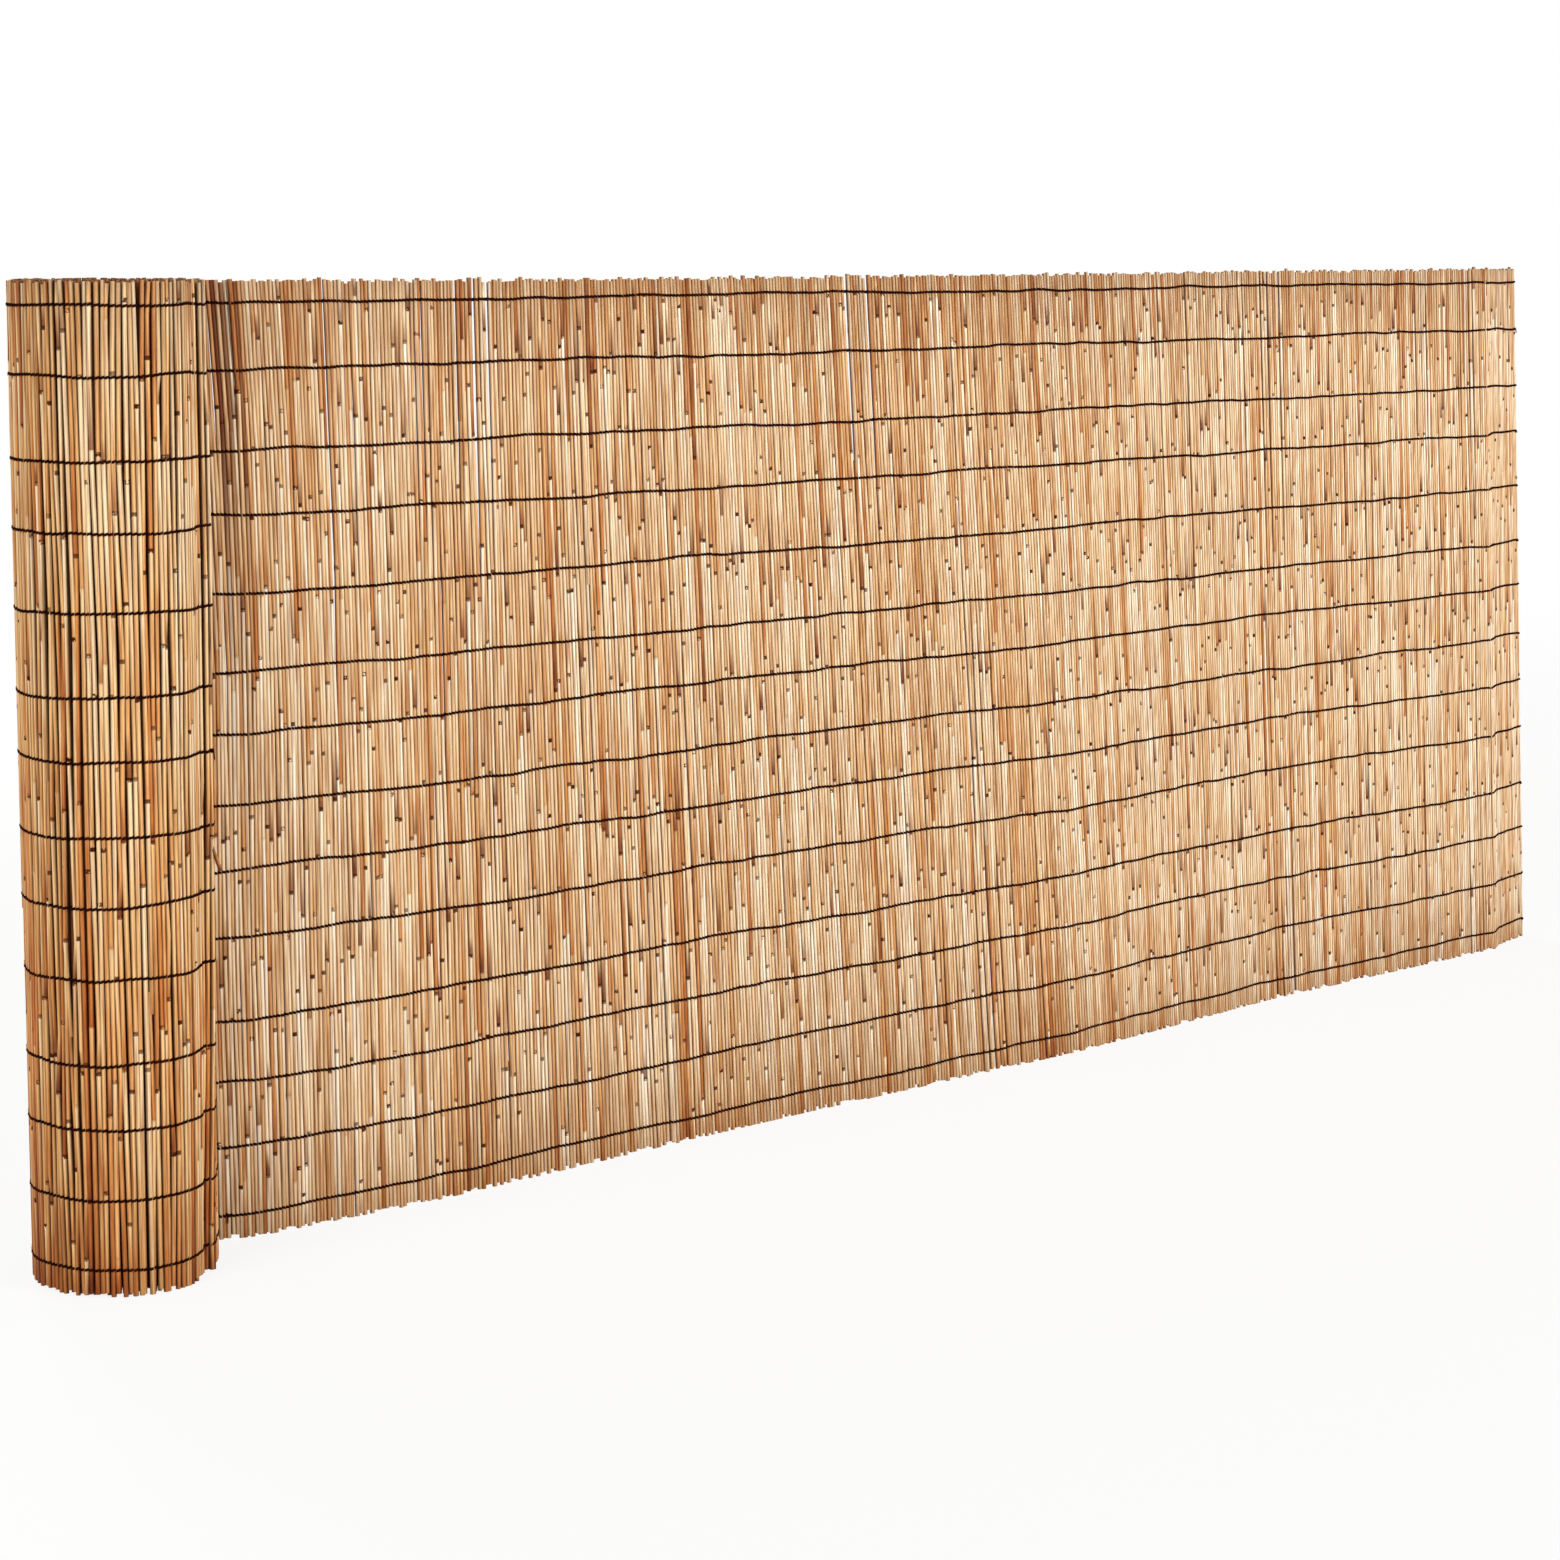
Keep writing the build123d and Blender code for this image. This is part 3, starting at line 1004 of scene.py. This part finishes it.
    def knots(self, stem: Stem, rng: random.Random, layer: Layer) -> list[Knot]:
        """Set a stem's nodes, with the width and the look of the skin round each.

        Args:
            stem: The stem.
            rng: The random numbers of this row.
            layer: Which stems these are. The inner turns show only their ends and have no nodes.

        Returns:
            The points of the stem's line, from its foot up.
        """
        radius = stem.diameter / 2
        tone = stem.tone
        under, ridge, ring, over, bare = self.node_shades
        knots = [Knot(stem.low, radius, self.foot_shade, tone=tone)]
        place = stem.low + rng.uniform(*self.first_node) * self.internode[1]
        while layer is not Layer.INNER_TURNS and place < stem.high - self.end_room:
            following = 0.5 * tone + 0.5 * self.tone(rng) + rng.uniform(*self.tone_step)
            following = min(1.0, max(0.0, following))
            swell = radius * rng.uniform(*self.swell)
            above = radius * rng.uniform(*self.narrowing)
            mark = rng.uniform(*self.clear_marks) if rng.random() < self.clear_share else self.faint_mark
            share = self.sheath_share * (self.old_factor if place > self.old_top else 1.0)
            sheath = rng.uniform(*self.sheath_strength) if rng.random() < share else 0.0
            knots.append(Knot(place - self.fade, radius, under, 0.0, tone, mark))
            knots.append(Knot(place - self.collar, swell, ridge, self.collar_node, tone, mark))
            knots.append(Knot(place + self.collar * self.ring_rise, swell * self.ring_width, ring, 1.0,
                              following, mark, sheath))
            knots.append(Knot(place + self.fade, above, over, 0.0, following, mark, sheath))
            reach = place + self.fade + rng.uniform(*self.sheath_length)
            if sheath > 0.0 and reach < stem.high - self.sheath_room:
                knots.append(Knot(reach, above, bare, 0.0, following))
            radius, tone = min(stem.diameter / 2, above * self.regrowth), following
            place += rng.uniform(*self.internode)
        knots.append(Knot(stem.high, radius * rng.uniform(*self.tip_width), rng.uniform(*self.tip_shade),
                          tone=tone))
        return knots

    def grow(self, stem: Stem, rng: random.Random, layer: Layer, seed: int) -> None:
        """Work out one stem's centre line, widths and tones.

        Args:
            stem: The stem, which gets its line.
            rng: The random numbers of this row.
            layer: Which stems these are.
            seed: Seed of the row's sway.
        """
        knots = self.knots(stem, rng, layer)
        spot, facing, spacing, half = stem.spot, stem.facing(), SPACINGS[layer], self.plan.half_height
        along = (math.cos(spot.heading), math.sin(spot.heading))
        bend_in = bend_out = 0.0
        last = -1.0
        for knot in knots:
            if knot.height - last > self.kink_room * self.fade:
                bend_in = rng.uniform(-spacing.kink, spacing.kink) * stem.hold
                bend_out = rng.uniform(-spacing.kink, spacing.kink) * self.kink_forward
            last = knot.height
            aside = bend_in + stem.aside + self.swayed(stem, knot.height, seed, layer)
            out = bend_out + stem.forward
            rise = (knot.height - half) / half
            lean, bow = -spot.lean * rise * half, 1.0 - rise * rise
            stem.line.append((spot.x + lean + bow * spot.bow_x + aside * along[0] + out * facing[0],
                              spot.y + bow * spot.bow_y + aside * along[1] + out * facing[1], knot.height))
            # The tone's change with height is painted shade; the stretch's own change of tone is added to it.
            knot.tone += spacing.height_shading * (half - knot.height) + stem.stretch_tone
            # Painted shade of the roll on its first sheet stems grows from half height up.
            browned = min(1.0, max(0.0, (knot.height - half) / self.edge_shade_fade))
            knot.stain = max(knot.stain, stem.stain_and_edge_shade * browned)
        stem.take_looks(knots)

    def sprung_end(self, stem: Stem, height: float, drop: float, out: float) -> Stem:
        """Make a short broken end of reed that leans out beside a stem.

        Args:
            stem: The stem that it starts behind.
            height: Height of its upper end.
            drop: How far down it reaches.
            out: How far its tip stands out from the roll.

        Returns:
            The end, brown at its tip.
        """
        x, y, _ = stem.at(height)
        away = Vector((x - self.plan.roll_x, y - self.plan.roll_y)).normalized()
        radius = 2.0 * MM
        end = Stem(stem.spot, stem.distance, 2 * radius, height - drop, height, 0.5, 0.0)
        shares = (1.0, 0.7, 0.0)
        end.line = [(x + share * out * away.x, y + share * out * away.y, height - share * drop)
                    for share in shares]
        end.take_looks([Knot(end.line[0][2], radius, 0.5, node=0.9, tone=0.6, stain=1.0),
                        Knot(end.line[1][2], 2.1 * MM, 0.3, tone=0.5, stain=0.3),
                        Knot(end.line[2][2], radius, 0.0, tone=0.5)])
        return end

    def cloud(self, stems: Iterable[Stem]) -> PointCloud:
        """Gather the stems' centre lines.

        Args:
            stems: The stems of one piece.

        Returns:
            A line for each whole stem and for each piece of a spliced one.
        """
        cloud = PointCloud()
        for stem in stems:
            for piece in stem.pieces or [stem]:
                cloud.add_line(piece.line, [piece.facing()] * len(piece.line), **piece.numbers)
        return cloud


@dataclass
class WireMaker:
    """Runs the twisted binding wires through the stems, and ties them off."""

    heights: tuple[float, ...]
    wire_radius: float = 0.7 * MM
    spread: tuple[float, float, float] = (1.0, 2.7, 1.0)
    twist_rise: float = -0.6 * MM
    seat: float = 0.8
    # How a row wanders in height: slow waves by their share and length, jogs, and a little at each stem.
    wander: float = 1.5 * MM
    waves_of: tuple[Pair, ...] = ((0.8, 0.9), (0.6, 0.34), (0.35, 0.16))
    wave_size: Pair = (0.5, 1.0)
    wave_stretch: Pair = (0.8, 1.2)
    wave_turn: float = 6.283
    random_start: Pair = (0.0, 6.28)
    jog: float = 1.7 * MM
    jog_length: float = 34.0 * MM
    jog_offset: Pair = (2.9, 0.5)
    unevenness: Pair = (-0.18, 0.18)
    # A knot: its turns, the points of each turn, its pitch and how far its tail stands off.
    knot_turns: float = 2.25
    knot_steps: int = 9
    knot_pitch: float = 1.1
    tail_out: float = 1.2
    tail_shares: tuple[float, ...] = (0.35, 0.7, 1.0)

    def waves(self, rng: random.Random) -> list[tuple[float, float, float]]:
        """Pick the slow waves of one row.

        Args:
            rng: The random numbers of this row.

        Returns:
            The size, length and start of each wave.
        """
        return [(self.wander * share * rng.uniform(*self.wave_size), length * rng.uniform(*self.wave_stretch),
                 rng.uniform(*self.random_start)) for share, length in self.waves_of]

    def row(self, stems: Sequence[Stem], height: float, seed: int) -> PointCloud:
        """Lay one wire row's middle line through a chain of stems.

        Args:
            stems: The stems in order, from the roll's inside to the sheet's edge.
            height: The row's height.
            seed: Seed for how it wanders.

        Returns:
            One line with a point on each stem and one in each gap.
        """
        rng = random.Random(seed)
        waves = self.waves(rng)
        points: list[Point] = []
        facing: list[Point] = []
        phases: list[float] = []
        reach: list[float] = []
        travelled = 0.0
        before: Point | None = None
        for index, stem in enumerate(stems):
            x, y, _ = stem.at(height)
            if before is not None:
                travelled += math.hypot(x - before[0], y - before[1])
            level = height + rng.uniform(*self.unevenness) * MM
            level += sum(size * math.sin(self.wave_turn * travelled / length + start)
                         for size, length, start in waves)
            level += self.jog * noise.noise(
                Vector((travelled / self.jog_length, seed * self.jog_offset[0], self.jog_offset[1])))
            steps = [((x, y, level), index)]
            if before is not None:
                between = ((x + before[0]) / 2, (y + before[1]) / 2, (level + before[2]) / 2)
                steps.insert(0, (between, index - 0.5))
            for point, half_turns in steps:
                points.append(point)
                facing.append(stem.facing())
                phases.append(half_turns * math.pi)
                reach.append(stem.diameter / 2 * self.seat + self.wire_radius)
            before = (x, y, level)
        cloud = PointCloud()
        cloud.add_line(points, facing, phase=phases, reach=reach)
        return cloud

    def knot(self, cloud: PointCloud, stem: Stem, height: float, rng: random.Random, tail: float) -> None:
        """Add a knot round a stem, with a tail.

        Args:
            cloud: The lines so far.
            stem: The stem it is tied round.
            height: Its height.
            rng: The random numbers of this piece.
            tail: Length of the tail, down if positive and up if negative.
        """
        x, y, _ = stem.at(height)
        wrap = stem.diameter / 2 + self.wire_radius
        turns, steps = self.knot_turns, self.knot_steps
        start = rng.uniform(*self.random_start)
        points: list[Point] = []
        for i in range(int(turns * steps) + 1):
            angle = start + 2 * math.pi * i / steps
            rise = (i / steps - turns / 2) * self.knot_pitch * MM
            points.append((x + wrap * math.cos(angle), y + wrap * math.sin(angle), height + rise))
        end = points[-1]
        out = Vector((end[0] - x, end[1] - y, 0.0)).normalized()
        for share in self.tail_shares:
            points.append((end[0] + out.x * share * self.tail_out * MM,
                           end[1] + out.y * share * self.tail_out * MM, end[2] - share * tail))
        cloud.add_line(points, [(0.0, -1.0, 0.0)] * len(points))


@dataclass(frozen=True)
class Seeds:
    """Fixed seeds for the mat's random sizes, so that each run gives the same mat."""

    sheet: int = 21
    sheet_splices: int = 31
    outer_turn: int = 41
    outer_splices: int = 42
    wires: int = 60
    knots: int = 90
    inner_turns: int = 500


@dataclass
class ReedMat:
    """The whole mat: builds every piece, dresses it and puts it on the body."""

    plan: MatPlan
    row_nodes: tuple[str, ...]
    seeds: Seeds = Seeds()
    outer_end: float = 338.0
    inner_turns: float = 4.6
    inner_room: float = 6.0 * MM
    inner_spacing: float = 1.04
    sheet_pieces: int = 3
    reed_sides: int = 8
    inner_sides: int = 6
    wire_sides: int = 4
    tail_sides: int = 5
    hollow_width: float = 0.55
    hollow_depth: float = 7.0 * MM
    # A short broken end stands out at the roll's slack edge.
    edge_angle: float = 267.0
    sprung_height: float = 0.437
    sprung_drop: float = 0.026
    sprung_out: float = 9.0 * MM
    # Where wires are joined: metres along the sheet or degrees round the roll, row from the top, and tail.
    sheet_ties: tuple[tuple[float, int, float], ...] = ((0.087, 14, 0.010), (0.087, 13, 0.006),
                                                        (0.568, 7, -0.012))
    roll_ties: tuple[tuple[float, int, float], ...] = ((266.0, 7, 0.011), (264.0, 10, 0.002))
    edge_tails_mm: Pair = (3.0, 9.0)
    built: list[bpy.types.Object] = field(default_factory=list)
    maker: StemMaker = field(init=False)
    reeds: NodeTreeMaker = field(init=False)
    wires: WireMaker = field(init=False)
    wire_finish: bpy.types.Material = field(init=False)

    def __post_init__(self) -> None:
        """Get the tools ready: the stem maker, the reeds' tree, the wire maker and the wires' finish."""
        self.maker = StemMaker(self.plan)
        self.reeds = reed_tree()
        self.wires = WireMaker(self.row_heights())
        self.wire_finish = WireFinish().material()

    def keep(self, obj: bpy.types.Object, slot: str, *nodes: str) -> None:
        """Put a piece on the body, hide the solids it replaces and log it.

        Args:
            obj: The piece.
            slot: Not used.
            nodes: The solids it stands for.
        """
        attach(obj, "root")
        if nodes:
            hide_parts(*nodes)
        self.built.append(obj)
        log.info("%s: %d triangles", obj.name, triangles(obj))

    def nearest(self, stems: Sequence[Stem], distance: float) -> Stem:
        """Find the stem nearest to a distance along its row."""
        return min(stems, key=lambda stem: abs(stem.distance - distance))

    def row_heights(self) -> tuple[float, ...]:
        """Read the wire rows' heights from the solids."""
        boxes = [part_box(node) for node in self.row_nodes]
        return tuple((low[2] + high[2]) / 2 for low, high in boxes)

    def stem_piece(self, name: str, stems: Iterable[Stem], sides: int,
                   finish: bpy.types.Material) -> bpy.types.Object:
        """Make the mesh of one piece's stems.

        Args:
            name: The piece's name.
            stems: Its stems.
            sides: How many sides a stem has.
            finish: The stems' material.

        Returns:
            The piece.
        """
        return self.reeds.apply(self.maker.cloud(stems).to_object(name),
                                {"Sides": sides, "Finish": finish, "Hollow width": self.hollow_width,
                                 "Hollow depth": self.hollow_depth})

    def open_sheet(self) -> list[Stem]:
        """Build the open sheet's stems, in a few pieces.

        Returns:
            The stems, from the roll outwards.
        """
        stems = self.maker.row(self.seeds.sheet, self.plan.sheet_length(), self.plan.on_sheet,
                               Layer.OPEN_SHEET)
        self.maker.splice(stems, self.seeds.sheet_splices, Layer.OPEN_SHEET)
        finish = SHEET_REED.material()
        share = math.ceil(len(stems) / self.sheet_pieces)
        for number in range(self.sheet_pieces):
            part = stems[number * share:(number + 1) * share]
            obj = self.stem_piece(f"sheet_stems_{number + 1}", part, self.reed_sides, finish)
            self.keep(obj, "reed", "open_sheet_reeds")
        return stems

    def outer_turn(self) -> list[Stem]:
        """Build the roll's outer turn, with its sprung end.

        Returns:
            The stems, from where the sheet leaves the roll.
        """
        stems = self.maker.row(self.seeds.outer_turn, self.plan.length_to(self.outer_end),
                               self.plan.on_outer_turn, Layer.OUTER_TURN)
        self.maker.splice(stems, self.seeds.outer_splices, Layer.OUTER_TURN)
        edge = self.nearest(stems, self.plan.length_to(self.edge_angle))
        sprung = self.maker.sprung_end(edge, self.sprung_height, self.sprung_drop, self.sprung_out)
        obj = self.stem_piece("outer_turn_stems", [*stems, sprung], self.reed_sides, ROLL_REED.material())
        self.keep(obj, "reed", "outer_turn_reeds")
        return stems

    def inner_winding(self) -> None:
        """Build the inner turns, one stem after another along the winding."""
        stems: list[Stem] = []
        angle = self.outer_end
        while angle < self.outer_end + 360.0 * self.inner_turns:
            spot = self.plan.on_roll(angle)
            stem = self.maker.row(self.seeds.inner_turns + len(stems), self.inner_room, lambda _: spot,
                                  Layer.INNER_TURNS)[0]
            stems.append(stem)
            radius = math.hypot(spot.x - self.plan.roll_x, spot.y - self.plan.roll_y)
            angle += math.degrees(stem.diameter * self.inner_spacing / radius)
        obj = self.stem_piece("inner_turn_stems", stems, self.inner_sides, SHADED_INSIDE_REED.material())
        self.keep(obj, "reed_shade", "rolled_turns")

    def binding_wires(self, chain: Sequence[Stem]) -> None:
        """Build the rows of twisted wire.

        Args:
            chain: The stems in order, from the roll's inside to the sheet's edge.
        """
        pair = wire_tree()
        for number, (node, height) in enumerate(zip(self.row_nodes, self.wires.heights), start=1):
            line = self.wires.row(chain, height, self.seeds.wires + number)
            obj = pair.apply(line.to_object(f"twisted_wire_{number:02d}"),
                             {"Wire radius": self.wires.wire_radius, "Wire spread": self.wires.spread,
                              "Twist rise": self.wires.twist_rise, "Sides": self.wire_sides,
                              "Finish": self.wire_finish})
            self.keep(obj, "wire", node)

    def end_knots(self, sheet: Sequence[Stem], outer: Sequence[Stem]) -> None:
        """Tie off the wires at the sheet's edge and at their joins.

        Args:
            sheet: The open sheet's stems.
            outer: The outer turn's stems.
        """
        rng = random.Random(self.seeds.knots)
        ends = PointCloud()
        for height in self.wires.heights:
            self.wires.knot(ends, sheet[-1], height, rng, rng.uniform(*self.edge_tails_mm) * MM)
        ties = [(self.nearest(sheet, distance), row, tail) for distance, row, tail in self.sheet_ties]
        ties += [(self.nearest(outer, self.plan.length_to(angle)), row, tail)
                 for angle, row, tail in self.roll_ties]
        for stem, row, tail in ties:
            self.wires.knot(ends, stem, self.wires.heights[row - 1], rng, tail)
        obj = tail_tree().apply(ends.to_object("wire_end_knots"),
                                {"Wire radius": self.wires.wire_radius, "Sides": self.tail_sides,
                                 "Finish": self.wire_finish})
        self.keep(obj, "wire")

    def build(self) -> None:
        """Build the stems of the sheet and the roll, and the wires through them."""
        sheet = self.open_sheet()
        outer = self.outer_turn()
        self.inner_winding()
        self.binding_wires([*reversed(outer), *sheet])
        self.end_knots(sheet, outer)


@dataclass(frozen=True)
class Softbox:
    """A soft square lamp: its power in watts, its side, where it hangs and the point it looks at."""

    name: str
    power: float
    size: float
    place: Point
    aim: Point

    def hang(self) -> None:
        """Hang the lamp in the scene."""
        light = bpy.data.lights.new(self.name, "AREA")
        light.energy = self.power
        light.size = self.size
        obj = bpy.data.objects.new(self.name, light)
        obj.location = self.place
        obj.rotation_euler = (Vector(self.aim) - Vector(self.place)).to_track_quat("-Z", "Y").to_euler()
        bpy.context.scene.collection.objects.link(obj)


@dataclass
class Studio:
    """Floor, background, lamps and camera."""

    camera_place: Point = (-2.7005, -2.8547, 1.0415)
    camera_azimuth: float = -40.43
    camera_pitch: float = 6.5
    sensor_mm: float = 36.0
    lens_mm: float = 74.63
    shift_y: float = -0.1128
    floor_size: float = 60.0
    ambient: float = 0.38
    lamps: tuple[Softbox, ...] = (
        Softbox("key_softbox", 376.0, 2.4, (1.9, -6.0, 1.9), (0.4, 0.0, 0.5)),
        Softbox("back_softbox", 230.0, 2.4, (0.6, 6.0, 2.6), (0.2, 0.0, 0.5)),
        Softbox("side_softbox", 140.0, 2.6, (-5.4, -1.3, 2.3), (-1.1, 0.0, 0.5)))

    def floor(self) -> None:
        """Lay the floor."""
        half = self.floor_size / 2
        corners = [(-half, -half, 0), (half, -half, 0), (half, half, 0), (-half, half, 0)]
        mesh = bpy.data.meshes.new("studio_floor")
        mesh.from_pydata(corners, [], [(0, 1, 2, 3)])
        mesh.materials.append(FloorFinish().material())
        obj = bpy.data.objects.new("studio_floor", mesh)
        bpy.context.scene.collection.objects.link(obj)

    def world(self) -> None:
        """Set the white background and the soft light that fills from all round."""
        world = bpy.data.worlds.new("white_studio")
        bpy.context.scene.world = world
        world.use_nodes = True
        tree = world.node_tree
        tree.nodes.clear()
        strength = add_node(tree, "ShaderNodeMix", {"Factor": seen_rays(tree), "A": self.ambient, "B": 1.0},
                            data_type="FLOAT")
        back = add_node(tree, "ShaderNodeBackground", {"Color": linear(WHITE), "Strength": strength})
        add_node(tree, "ShaderNodeOutputWorld", {"Surface": back})

    def camera(self) -> None:
        """Set the camera where the photograph was taken from."""
        data = bpy.data.cameras.new("photo_camera")
        data.sensor_width = self.sensor_mm
        data.lens = self.lens_mm
        data.shift_y = self.shift_y
        obj = bpy.data.objects.new("photo_camera", data)
        obj.location = self.camera_place
        obj.rotation_euler = Euler(
            (math.radians(90.0 - self.camera_pitch), 0.0, math.radians(self.camera_azimuth)))
        bpy.context.scene.collection.objects.link(obj)
        bpy.context.scene.camera = obj

    def build(self) -> None:
        """Set up the whole studio."""
        self.camera()
        self.floor()
        self.world()
        for lamp in self.lamps:
            lamp.hang()
        bpy.context.scene.view_settings.view_transform = "Standard"


def main() -> None:
    """Build the studio and the mat."""
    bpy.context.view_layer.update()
    Studio().build()
    low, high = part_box("rolled_turns")
    plan = MatPlan((low[0] + high[0]) / 2, (low[1] + high[1]) / 2)
    rows = tuple(sorted(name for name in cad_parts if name.startswith("binding_wire_row_")))
    mat = ReedMat(plan, rows)
    mat.build()
    total = sum(triangles(obj) for obj in mat.built)
    log.info("whole mat: %d triangles in %d pieces", total, len(mat.built))
    bpy.context.view_layer.update()


if __name__ == "__main__":
    main()
